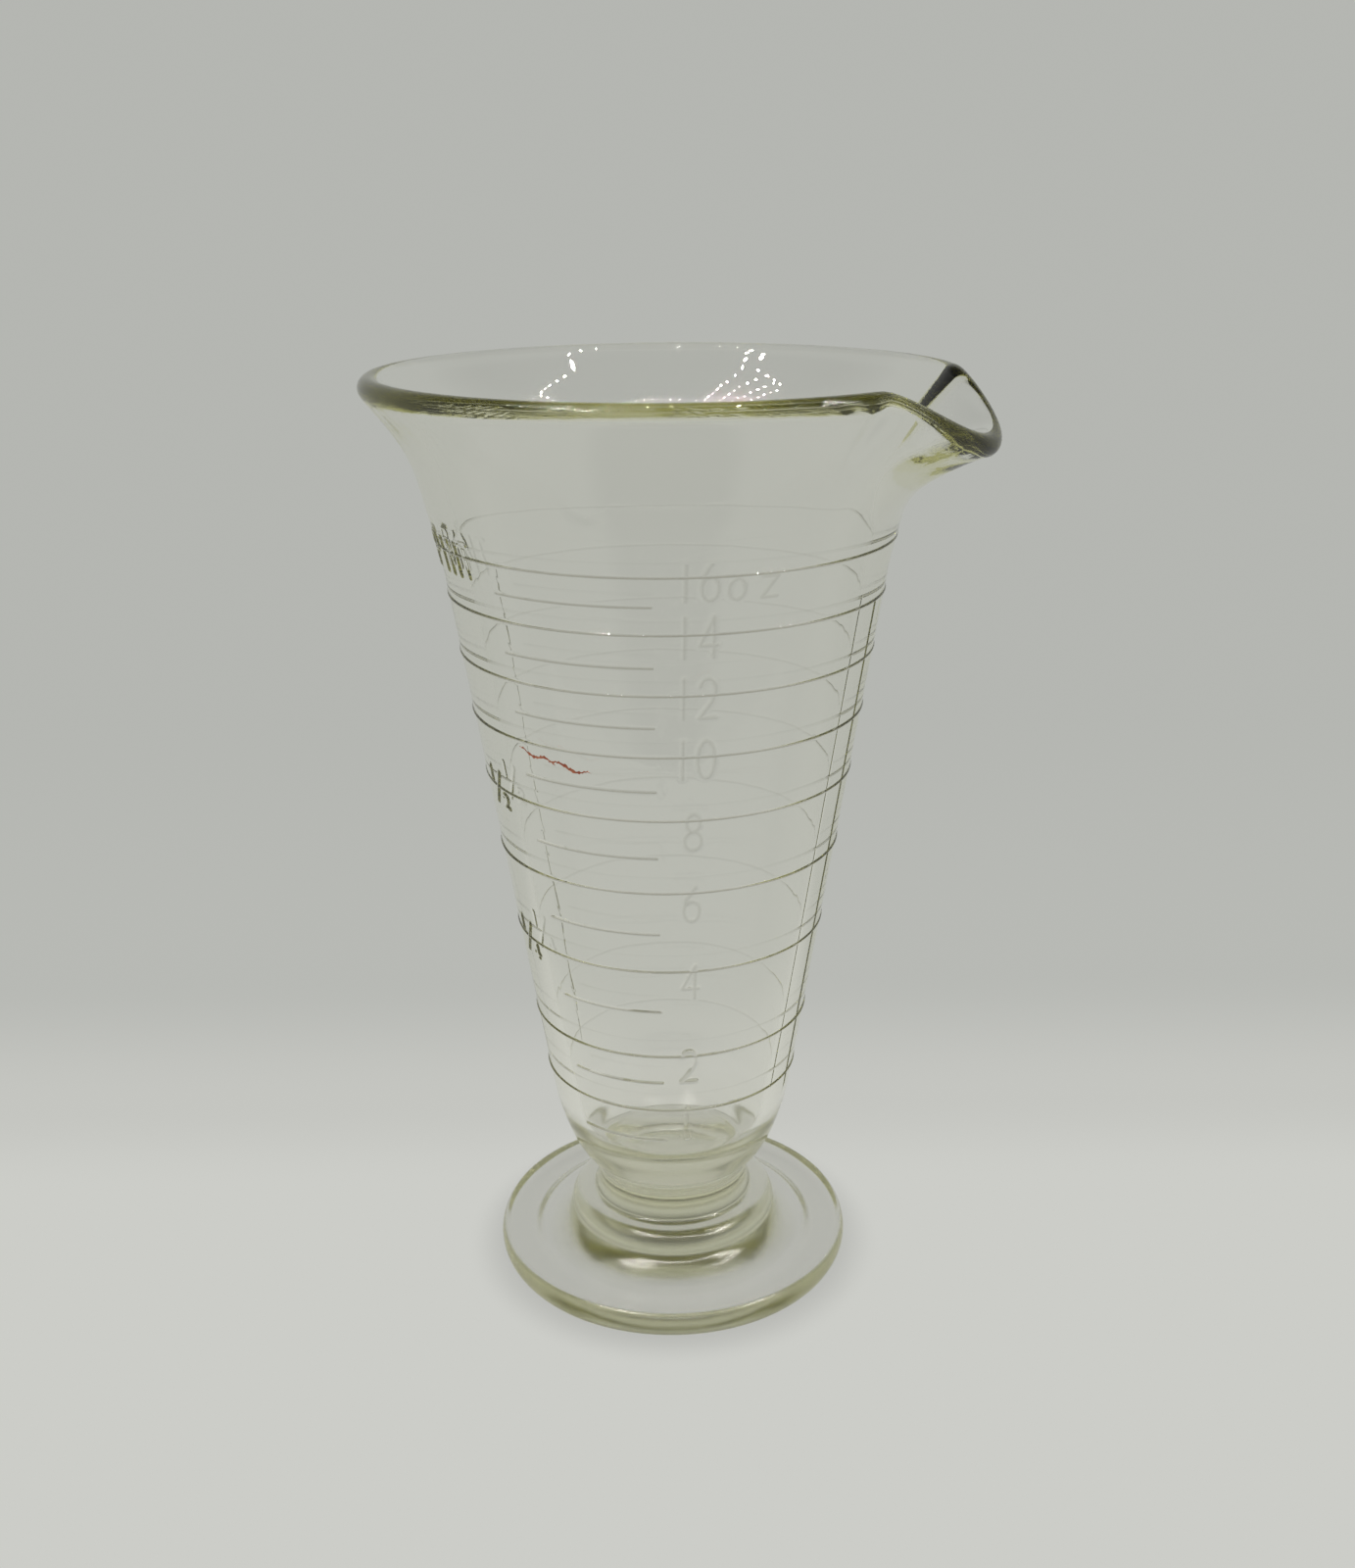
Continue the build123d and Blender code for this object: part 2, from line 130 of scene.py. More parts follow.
# ---- glass -------------------------------------------------------------------------------------
GLASS_IOR = 1.52
ABSORPTION_COLOUR = (0.74, 0.73, 0.22, 1)
ABSORPTION_DENSITY = 10.0
# painted shade: the raised marks are darkened in colour to stand in for the shading of their relief
PAINTED_MARK_SHADE = (0.42, 0.40, 0.34, 1)
CHARACTER_PAINTED_SHADE = 0.4
PAINTED_SHADE_PAST = -90                           # the characters left of this azimuth get no painted shade
HAZE_LOW, HAZE_HIGH = 0.024, 0.046          # metres; the foot's haze is full below, gone above
HAZE_ROUGHNESS = 0.15
CLEAR = (1, 1, 1, 1)
# ---- camera ------------------------------------------------------------------------------------
CAMERA_DISTANCE = 0.346                     # metres from the cup's axis
CAMERA_HEIGHT = 0.2399
CAMERA_PITCH = 19.70                        # degrees down
CAMERA_ROLL = -0.49
CAMERA_YAW = 0.33
LENS = 38.06
# ---- surroundings, in metres -------------------------------------------------------------------
FLOOR_TONE = (0.604, 0.610, 0.578)
BACK_TONE = (0.461, 0.470, 0.444)
# the floor's glow from front to back, darker behind: painted shade of a curved sweep
SWEEP_STOPS = ((0.0, FLOOR_TONE), (0.2, FLOOR_TONE), (0.27, (0.555, 0.56, 0.53)),
               (0.40, (0.478, 0.487, 0.46)), (0.9, BACK_TONE))
CONTACT_SHADE = 0.8                         # painted contact shadow: floor's share of brightness round the foot
LAMP_GLOW = 700.0
LAMP_RADIUS = 0.0034
LAMP_SIDES = 10
SIDE_ROWS, ROW_LAMPS, ROW_GAP = 4, 8, 0.055
CROSS_LAMPS = 26
PANEL_HEIGHT = 0.62
PANEL_CENTRE = -0.16                        # towards the camera from the cup's axis
PANEL_SIZE = (0.86, 0.30)
PANEL_SIDE = 0.11                           # to the right of the cup's axis
OPENING_HEIGHT = 28.0                       # degrees above level
OPENING_HALF_WIDTH = 38.0
OPENING_TONE = 0.12
CEILING_HALF_WIDTH = 52.0
CEILING_TONE = 0.10
# ---- sockets of a colour mix node --------------------------------------------------------------
MIX_SHARE, MIX_A, MIX_B, MIX_RESULT = 0, 6, 7, 2


def unit(v):
    v = np.asarray(v, float)
    return v / np.linalg.norm(v)


def leaning(lean):
    """Directions along a leaning wall and out of its outer side, as (radius, height)."""
    a = math.radians(lean)
    return np.array([math.sin(a), math.cos(a)]), np.array([math.cos(a), -math.sin(a)])


def spline(points, start, end, shares):
    """Points at shares of the length of a smooth curve with a given direction at each end."""
    p = np.array(points, float)
    gaps = np.linalg.norm(np.diff(p, axis=0), axis=1)
    n = len(p)
    matrix = np.eye(n)
    right = np.zeros((n, 2))
    right[0], right[-1] = unit(start), unit(end)
    for i in range(1, n - 1):
        before, after = gaps[i - 1], gaps[i]
        matrix[i, i - 1:i + 2] = after, 2 * (before + after), before
        right[i] = 3 * (after / before * (p[i] - p[i - 1]) + before / after * (p[i + 1] - p[i]))
    slopes = np.linalg.solve(matrix, right)
    knots = np.concatenate([[0], np.cumsum(gaps)])
    t = np.asarray(shares, float) * knots[-1]
    i = np.clip(np.searchsorted(knots, t, side="right") - 1, 0, n - 2)
    h = gaps[i][:, None]
    u = (t - knots[i])[:, None] / h
    return ((2 * u**3 - 3 * u**2 + 1) * p[i] + (u**3 - 2 * u**2 + u) * h * slopes[i]
            + (3 * u**2 - 2 * u**3) * p[i + 1] + (u**3 - u**2) * h * slopes[i + 1])


def arc(a, b, c, count):
    """Points on the circular arc from a through b to c."""
    a, b, c = (np.array(q, float) for q in (a, b, c))
    m = np.array([b - a, c - b])
    centre = np.linalg.solve(m, np.array([(b @ b - a @ a) / 2, (c @ c - b @ b) / 2]))
    first, last = (math.atan2(*(q - centre)[::-1]) for q in (a, c))
    middle = math.atan2(*(b - centre)[::-1])
    turn = (last - first) % (2 * math.pi)
    if (middle - first) % (2 * math.pi) > turn:
        turn -= 2 * math.pi
    angles = first + turn * np.linspace(0, 1, count)
    return centre + np.linalg.norm(a - centre) * np.stack([np.cos(angles), np.sin(angles)], axis=1)


def line(a, b, count):
    return np.linspace(a, b, count)


CONE_LEAN = math.degrees(math.atan2(CONE_TOP_RADIUS - BOWL_TOP_RADIUS, CONE_TOP - BOWL_TOP))
CONE_ALONG, CONE_OUT = leaning(CONE_LEAN)
INNER_CONE_TOP = np.array([CONE_TOP_RADIUS, CONE_TOP]) - CONE_OUT * WALL
INNER_BOWL_TOP = np.array([BOWL_TOP_RADIUS, BOWL_TOP]) - CONE_OUT * WALL


def rim_ends(centre, lean):
    """Where the rounded rim leaves the outer and the inner side of the wall."""
    out = leaning(lean)[1] * WALL / 2
    return centre + out, centre - out


def dense_outside():
    """Outer side of the cup from the waist to the rim, as closely spaced points."""
    rim = rim_ends(RIM_CENTRE, FLARE_LEAN)[0]
    bowl = spline([(WAIST_END_RADIUS, WAIST_TOP), *BOWL_OUTSIDE, (BOWL_TOP_RADIUS, BOWL_TOP)],
                  (1.0, 0.25), CONE_ALONG, np.linspace(0, 1, 200))
    flare = spline([(CONE_TOP_RADIUS, CONE_TOP), *FLARE_OUTSIDE, rim],
                   CONE_ALONG, leaning(FLARE_LEAN)[0], np.linspace(0, 1, 400))
    return np.concatenate([bowl, flare])


def dense_inside():
    """Inner side of the cup from the rounded bottom to the rim."""
    rim = rim_ends(RIM_CENTRE, FLARE_LEAN)[1]
    flare = spline([INNER_CONE_TOP, *FLARE_INSIDE, rim],
                   CONE_ALONG, leaning(FLARE_LEAN)[0], np.linspace(0, 1, 400))
    return np.concatenate([[INNER_BOWL_TOP], flare])


OUTSIDE, INSIDE = dense_outside(), dense_inside()


def outside_radius(z):
    return np.interp(z, OUTSIDE[:, 1], OUTSIDE[:, 0])


def inside_radius(z):
    return np.interp(z, INSIDE[:, 1], INSIDE[:, 0])


# ---- characters --------------------------------------------------------------------------------
def ring_of(x, y, rx, ry, start=90.0, end=450.0, steps=14):
    """Points along part of an ellipse."""
    angles = np.radians(np.linspace(start, end, steps + 1))
    return [(x + rx * math.cos(a), y + ry * math.sin(a)) for a in angles]


GLYPHS = {
    "0": [ring_of(0.5, 0.5, 0.5, 0.5)],
    "1": [[(0.5, 0.0), (0.5, 1.0)]],
    "2": [ring_of(0.5, 0.72, 0.46, 0.28, 160, -20, 8) + [(0.75, 0.42), (0.03, 0.0), (1.0, 0.0)]],
    "4": [[(0.78, 0.0), (0.78, 1.0), (0.0, 0.3), (1.0, 0.3)]],
    "6": [ring_of(0.5, 0.29, 0.48, 0.29, 160, 520) + [(0.16, 0.62), (0.72, 1.0)]],
    "8": [ring_of(0.5, 0.76, 0.4, 0.24, -90, 270), ring_of(0.5, 0.26, 0.5, 0.26)],
    "O": [ring_of(0.5, 0.5, 0.5, 0.5)],
    "Z": [[(0.0, 1.0), (1.0, 1.0), (0.0, 0.0), (1.0, 0.0)]],
    "P": [[(0.0, 0.0), (0.0, 1.0), (0.6, 1.0)]
          + ring_of(0.6, 0.75, 0.4, 0.25, 90, -90, 8) + [(0.0, 0.5)]],
    "I": [[(0.5, 0.0), (0.5, 1.0)]],
    "N": [[(0.0, 0.0), (0.0, 1.0), (1.0, 0.0), (1.0, 1.0)]],
    "T": [[(0.0, 1.0), (1.0, 1.0)], [(0.5, 1.0), (0.5, 0.0)]],
    "/": [[(0.0, 0.0), (1.0, 1.0)]],
}


def character(name, column, left, bottom, width, height):
    """A character's strokes as rows of (column, x0, z0, x1, z1)."""
    rows = []
    for points in GLYPHS[name]:
        placed = [(left + x * width, bottom + y * height) for x, y in points]
        # a stroke of no length has no direction, so it is skipped
        rows += [(column, *a, *b) for a, b in zip(placed[:-1], placed[1:])
                 if math.dist(a, b) > 0.01]
    return rows


def word(text, column, width, pitch, bottom, height):
    start = -pitch * (len(text) - 1) / 2 - width / 2
    rows = []
    for i, name in enumerate(text):
        rows += character(name, column, start + i * pitch, bottom, width, height)
    return rows


def all_strokes():
    words = [(f"numeral_{ounces:02d}", str(ounces), OUNCE_COLUMN, DIGIT_WIDTH, DIGIT_PITCH)
             for ounces in RINGS]
    words.append(("ounce_letters", "OZ", OZ_COLUMN, OZ_WIDTH, OZ_PITCH))
    words.append(("pint_letters", "PINT", PINT_COLUMN, PINT_WIDTH, PINT_PITCH))
    edge = STROKE / 2
    rows = []
    for node, text, column, width, pitch in words:
        low, high = heights(node)
        rows += word(text, column, width, pitch, low + edge, high - low - 2 * edge)
    for node, lower in (("half_pint_mark", "2"), ("quarter_pint_mark", "4")):
        bottom = heights(node)[0] + edge
        rows += character("1", PINT_COLUMN, -4.0, bottom + 5.0, 2.4, 3.0)
        rows += character("/", PINT_COLUMN, -2.0, bottom + 0.2, 4.0, 7.6)
        rows += character(lower, PINT_COLUMN, 1.6, bottom, 2.4, 3.0)
    return np.array(rows)


STROKES = all_strokes()


def turn_between(a, b):
    """Smallest turn from b to a, in degrees."""
    return (a - b + 180.0) % 360.0 - 180.0


def stroke_distance(azimuth, z):
    """Distance in millimetres over the wall from places to the nearest character stroke."""
    radius = outside_radius(z)
    best = np.full(np.shape(azimuth), 99.0)
    for column, x0, z0, x1, z1 in STROKES:
        x = radius * np.radians(turn_between(azimuth, column))
        near = (np.abs(x - (x0 + x1) / 2) < 8) & (np.abs(z - (z0 + z1) / 2) < 9)
        if not near.any():
            continue
        px, pz = x[near] - x0, z[near] - z0
        dx, dz = x1 - x0, z1 - z0
        share = np.clip((px * dx + pz * dz) / (dx * dx + dz * dz), 0, 1)
        best[near] = np.minimum(best[near], np.hypot(px - share * dx, pz - share * dz))
    return best


def line_distance(azimuth, z):
    """Distance to the nearest short line."""
    radius = outside_radius(z)
    middle, half = (LINE_START + LINE_END) / 2, (LINE_END - LINE_START) / 2
    past = np.maximum(np.abs(turn_between(azimuth, middle)) - half, 0) * radius * math.pi / 180
    best = np.full(np.shape(azimuth), 99.0)
    for height in LINES:
        best = np.minimum(best, np.hypot(past, z - height))
    return best


def bump(distance, half_width):
    """Rounded ridge, one high, that fades out at its half width."""
    share = np.clip(np.abs(distance) / half_width, 0, 1)
    return (1 - share**2) ** 1.5


def worn(azimuth):
    """The rings are crisp on the side that faces the scale and fainter round the back."""
    return 0.25 + 0.75 * np.clip(0.55 - 1.3 * np.sin(np.radians(azimuth - SPOUT_TURN)), 0, 1)


def ring_distance(z):
    return np.min([np.abs(z - height) for height in RINGS.values()], axis=0)


def ridge_share(azimuth, z):
    """Painted shade on the marks: one along the middle of a ring or short line, less on characters."""
    rings = worn(azimuth) * bump(ring_distance(z), RIDGE_HALF_WIDTH)
    marks = np.maximum(rings, bump(line_distance(azimuth, z), RIDGE_HALF_WIDTH))
    characters = CHARACTER_PAINTED_SHADE * bump(stroke_distance(azimuth, z), STROKE / 2 + 0.1)
    return np.maximum(marks, characters * (azimuth > PAINTED_SHADE_PAST))


def relief(azimuth, z):
    """How far the raised marks stand out of the wall, in millimetres."""
    rings = ring_distance(z)
    # the mould's ring grooves aren't cut evenly deep all the way round
    around = np.radians(azimuth)
    uneven = 1 + 0.12 * np.sin(around * 3 + z * 0.2) + 0.08 * np.sin(around * 7 + z)
    height = RIDGE_RELIEF * uneven * worn(azimuth) * bump(rings, RIDGE_HALF_WIDTH)
    lines = 0.9 * RIDGE_RELIEF * bump(line_distance(azimuth, z), RIDGE_HALF_WIDTH)
    characters = LETTER_RELIEF * bump(stroke_distance(azimuth, z), STROKE / 2 + 0.3)
    height = np.maximum(np.maximum(height, lines), characters)
    # the two mould seams show on the cone only
    seam = np.minimum(np.abs(turn_between(azimuth, 0)), np.abs(turn_between(azimuth, 180)))
    across = np.radians(seam) * outside_radius(z)
    on_cone = (z < CONE_TOP - 2) * (z > BOWL_TOP + 2)
    return np.maximum(height, SEAM_RELIEF * bump(across, SEAM_HALF_WIDTH) * on_cone)


def ripple(azimuth, z, size, seed):
    """Gentle unevenness of pressed glass: long upright folds, the same each time."""
    draw = random.Random(seed)
    total = np.zeros(np.shape(azimuth))
    for _ in range(9):
        turns, climb = draw.randint(1, 11), draw.uniform(-0.05, 0.05)
        height, phase = draw.uniform(0.3, 1.0), draw.uniform(0, 6.3)
        total = total + height * np.sin(np.radians(azimuth) * turns + z * climb + phase)
    return size * total / 3


# ---- one closed skin ---------------------------------------------------------------------------
def columns():
    """Azimuths of the upright grid lines: closer in the spout and across the two mould seams."""
    found = {round(a, 3) for a in np.arange(-180, 180, COLUMN_GAP)}
    found |= {round(a, 3) for a in np.arange(-27, 27.1, SPOUT_COLUMN_GAP)}
    for seam in (0.0, -180.0):
        found |= {round(seam + side * step, 3) for side in (-1, 1) for step in (0.25, 0.5, 0.9)}
    return sorted((a + 180) % 360 - 180 for a in found)


def wall_levels(low, high):
    """Heights of the level grid lines on the marked wall, close together at each ring."""
    steps = (-0.8, -0.46, -0.34, -0.22, -0.08, 0.08, 0.22, 0.34, 0.46, 0.8)
    fixed = [low]
    for height in RINGS.values():
        fixed += [height + step for step in steps]
    fixed.append(high)
    levels = []
    for a, b in zip(fixed[:-1], fixed[1:]):
        count = max(1, math.ceil((b - a) / LEVEL_GAP))
        levels += list(np.linspace(a, b, count + 1)[:-1])
    return np.array(levels + [high])


def base_rows():
    """Outline from the middle of the underside to the marked wall, with softened corners."""
    flat_radius = RECESS_RADIUS - RECESS_SLOPE
    under = line((0.0, RECESS_DEPTH), (flat_radius - 1.0, RECESS_DEPTH), 9)
    recess = spline([(flat_radius, RECESS_DEPTH),
                     (RECESS_RADIUS - RECESS_SLOPE / 2, RECESS_DEPTH / 2),
                     (RECESS_RADIUS, 0)], (1, 0), (1, 0), np.linspace(0, 1, 10))
    rest = line((RECESS_RADIUS + 1.0, 0), (FOOT_BASE_RADIUS - 0.5, 0), 4)
    edge = arc((FOOT_BASE_RADIUS + 0.15, 0.35), (FOOT_RADIUS, FOOT_TOP / 2),
               (FOOT_TOP_RADIUS + 0.1, FOOT_TOP - 0.35), 16)
    neck_foot = NECK_RADIUS + NECK_SPREAD
    plate = line((FOOT_TOP_RADIUS - 0.6, FOOT_TOP), (neck_foot + 0.6, FOOT_TOP), 14)
    middle = (COLLAR_RADIUS - BAND_RADIUS, COLLAR_TOP - BAND_RADIUS - 0.4)
    round_band = [(middle[0] + BAND_RADIUS * math.cos(a), middle[1] + BAND_RADIUS * math.sin(a))
                  for a in np.radians(np.linspace(BAND_START, BAND_END, 34))]
    neck = spline([(neck_foot, FOOT_TOP), (NECK_RADIUS + 3.2, FOOT_TOP + 1.3),
                   (NECK_RADIUS + 0.02, middle[1] - 0.75)],
                  (-1, 0), (-0.7, 1), np.linspace(0, 1, 18))
    shoulder = spline([(WAIST_END_RADIUS + 1.6, COLLAR_TOP - 0.35),
                       (WAIST_END_RADIUS + 0.7, COLLAR_TOP - 0.05),
                       (WAIST_END_RADIUS + 0.05, COLLAR_TOP + 0.6)],
                      (-1, 0.15), (-0.3, 1.0), np.linspace(0, 1, 10))
    waist = arc((WAIST_END_RADIUS - 0.15, COLLAR_TOP + 1.2),
                (WAIST_RADIUS, (COLLAR_TOP + WAIST_TOP) / 2),
                (WAIST_END_RADIUS - 0.15, WAIST_TOP - 1.2), 20)
    under_bowl = spline([(WAIST_END_RADIUS, WAIST_TOP - 0.6),
                         (WAIST_END_RADIUS + 1.6, WAIST_TOP + 1.0), *BOWL_OUTSIDE,
                         (outside_radius(MARKED_LOW), MARKED_LOW)],
                        (0.2, 1), unit((0.32, 1)), np.linspace(0, 1, 34))[:-1]
    return np.concatenate([under[1:], recess, rest, edge, plate, neck, round_band, shoulder,
                           waist, under_bowl])


def flare_rows(azimuth):
    """Outline from the marked wall's top round the rim to the inner cone, at one azimuth."""
    pull = 0.0
    if abs(azimuth) < SPOUT_HALF_ANGLE:
        pull = math.cos(math.radians(90 * azimuth / SPOUT_HALF_ANGLE)) ** 1.6
    lean = FLARE_LEAN + (SPOUT_LEAN - FLARE_LEAN) * pull
    centre = np.array(RIM_CENTRE) * (1 - pull) + np.array(SPOUT_TIP) * pull
    outer_end, inner_end = rim_ends(centre, lean)
    plain_ends = rim_ends(np.array(RIM_CENTRE), FLARE_LEAN)
    along = leaning(lean)[0]
    spout = (SPOUT_OUTSIDE, SPOUT_INSIDE)
    sides = []
    for side, radius_at, end in ((0, outside_radius, outer_end), (1, inside_radius, inner_end)):
        points = [(radius_at(SPOUT_BOTTOM), SPOUT_BOTTOM)]
        for share, target in zip(SPOUT_SHARES, spout[side]):
            z = SPOUT_BOTTOM + share * (plain_ends[side][1] - SPOUT_BOTTOM)
            points.append(np.array([radius_at(z), z]) * (1 - pull) + np.array(target) * pull)
        points.append(end)
        start = (radius_at(SPOUT_BOTTOM + 0.5) - radius_at(SPOUT_BOTTOM - 0.5), 1.0)
        sides.append(spline(points, start, along, np.linspace(0, 1, 19)))
    tip = centre + along * WALL / 2
    rim = arc(outer_end, tip, inner_end, 13)[1:-1]
    return np.concatenate([sides[0][1:], rim, sides[1][::-1]])


def inner_rows():
    """Outline of the inside from the inner cone down to the lowest point."""
    down = -CONE_ALONG
    start = (inside_radius(SPOUT_BOTTOM), SPOUT_BOTTOM)
    upper = spline([start, (inside_radius(170.0), 170.0), INNER_CONE_TOP],
                   (inside_radius(175.0) - start[0], -1.0), down, np.linspace(0, 1, 6))[1:]
    cone = line(INNER_CONE_TOP, INNER_BOWL_TOP, 34)[1:]
    bowl = spline([INNER_BOWL_TOP, *BOWL_INSIDE, (0.0, INSIDE_BOTTOM)],
                  down, (-1, 0), np.linspace(0, 1, 40))[1:-1]
    return np.concatenate([upper, cone, bowl])


def glass_mesh():
    """The whole measure as one closed skin, with the share of painted shade on its marks."""
    azimuths = columns()
    levels = wall_levels(MARKED_LOW, MARKED_HIGH)
    below, inside = base_rows(), inner_rows()
    flares = np.array([flare_rows(a) for a in azimuths])
    n_columns = len(azimuths)
    widths = [(azimuths[(i + 1) % n_columns] - azimuths[i]) % 360 for i in range(n_columns)]

    # each cell of the marked wall near a stroke or a short line is divided into fine steps
    side_steps = [max(1, round(w / FINE_ANGLE)) for w in widths]
    level_steps = [max(1, round(h / FINE_HEIGHT)) for h in np.diff(levels)]
    samples = np.linspace(0, 1, 6)
    marked = [i for i in range(n_columns) if MARKED_START < azimuths[i] < MARKED_END]
    across = np.array([azimuths[i] + widths[i] * samples for i in marked])
    up = levels[:-1, None] + np.diff(levels)[:, None] * samples
    a, z = np.broadcast_arrays(across[:, None, :, None], up[None, :, None, :])
    near = np.minimum(stroke_distance(a, z), line_distance(a, z)).min(axis=(2, 3)) < 1.0
    fine = {(marked[i], j) for i, j in zip(*np.nonzero(near))}

    verts, where = [], {}

    def level_vertex(i, a, j, b):
        """Index of the vertex at step a past column i and step b past level j of the marked wall."""
        if a == side_steps[i]:
            i, a = (i + 1) % n_columns, 0
        if b == (level_steps[j] if j < len(level_steps) else 1):
            j, b = j + 1, 0
        key = ("wall", i, a, j, b)
        if key not in where:
            where[key] = len(verts)
            azimuth = azimuths[i] + widths[i] * a / side_steps[i]
            z = levels[j] + (levels[j + 1] - levels[j]) * b / level_steps[j] if b else levels[j]
            verts.append(("wall", azimuth, z))
        return where[key]

    def row_vertex(part, rows, i, k):
        key = (part, i, k)
        if key not in where:
            where[key] = len(verts)
            r, z = rows[i, k] if rows.ndim == 3 else rows[k]
            verts.append((part, azimuths[i], z, r))
        return where[key]

    faces = []
    n_levels = len(levels)
    for j in range(n_levels - 1):
        for i in range(n_columns):
            su, sv = side_steps[i], level_steps[j]
            if (i, j) in fine:
                for b in range(sv):
                    for a in range(su):
                        faces.append([level_vertex(i, a, j, b), level_vertex(i, a + 1, j, b),
                                      level_vertex(i, a + 1, j, b + 1), level_vertex(i, a, j, b + 1)])
                continue
            face = [level_vertex(i, 0, j, 0)]
            if (i, j - 1) in fine:
                face += [level_vertex(i, a, j, 0) for a in range(1, su)]
            face.append(level_vertex(i, su, j, 0))
            if ((i + 1) % n_columns, j) in fine:
                face += [level_vertex(i, su, j, b) for b in range(1, sv)]
            face.append(level_vertex(i, su, j, sv))
            if (i, j + 1) in fine:
                face += [level_vertex(i, a, j, sv) for a in range(su - 1, 0, -1)]
            face.append(level_vertex(i, 0, j, sv))
            if ((i - 1) % n_columns, j) in fine:
                face += [level_vertex(i, 0, j, b) for b in range(sv - 1, 0, -1)]
            faces.append(face)

    def wall_row(j):
        return [level_vertex(i, 0, j, 0) for i in range(n_columns)]

    def other_row(part, rows, k):
        return [row_vertex(part, rows, i, k) for i in range(n_columns)]

    def strip(lower, upper):
        for i in range(n_columns):
            n = (i + 1) % n_columns
            faces.append([lower[i], lower[n], upper[n], upper[i]])

    bottom = [other_row("base", below, k) for k in range(len(below))]
    top = [wall_row(n_levels - 1)] + [other_row("flare", flares, k) for k in range(flares.shape[1])]
    top += [other_row("inside", inside, k) for k in range(len(inside))]
    chain = bottom + [wall_row(0)]
    for lower, upper in zip(chain[:-1], chain[1:]):
        strip(lower, upper)
    for lower, upper in zip(top[:-1], top[1:]):
        strip(lower, upper)
    for ring, z, flip in ((bottom[0], RECESS_DEPTH, False), (top[-1], INSIDE_BOTTOM, True)):
        pole = len(verts)
        verts.append(("pole", 0.0, z, 0.0))
        for i in range(n_columns):
            a, b = ring[i], ring[(i + 1) % n_columns]
            faces.append([b, a, pole] if not flip else [a, b, pole])

    places = np.zeros((len(verts), 3))
    wall = np.array([n for n, v in enumerate(verts) if v[0] == "wall"])
    azimuth = np.array([verts[n][1] for n in wall])
    z = np.array([verts[n][2] for n in wall])
    slope = (outside_radius(z + 0.3) - outside_radius(z - 0.3)) / 0.6
    stand = relief(azimuth, z)
    fade = np.clip(np.minimum(z - MARKED_LOW, MARKED_HIGH - z) / 8, 0, 1)
    stand = stand + ripple(azimuth, z, OUTSIDE_RIPPLE, 5) * fade
    lean = np.sqrt(1 + slope**2)
    radius = outside_radius(z) + stand / lean
    places[wall] = np.stack([radius * np.cos(np.radians(azimuth)), radius * np.sin(np.radians(azimuth)),
                             z - stand * slope / lean], axis=1)
    for n, v in enumerate(verts):
        if v[0] == "wall":
            continue
        part, a, zz, r = v
        if part == "inside":
            # even at the bottom's middle and at the flare
            settle = float(ripple(np.array([a]), np.array([zz]), INSIDE_RIPPLE, 11)[0])
            r += settle * min(1, max(0, r - 2) / 15) * min(1, max(0, 172 - zz) / 20)
        places[n] = r * math.cos(math.radians(a)), r * math.sin(math.radians(a)), zz
    mesh = bpy.data.meshes.new("pressed_glass")
    mesh.from_pydata((places * MM).tolist(), [], faces)
    mesh.validate()
    # share of painted shade on the raised marks, kept on the vertices
    edge = mesh.attributes.new("painted_ridge_shade", "FLOAT", "POINT")
    shares = np.zeros(len(verts))
    shares[wall] = ridge_share(azimuth, z)
    edge.data.foreach_set("value", shares)
    mesh.shade_smooth()
    return mesh


# ---- materials ---------------------------------------------------------------------------------
def new_material(name):
    material = bpy.data.materials.new(name)
    material.use_nodes = True
    nodes, links = material.node_tree.nodes, material.node_tree.links
    return material, nodes, links, nodes["Principled BSDF"]


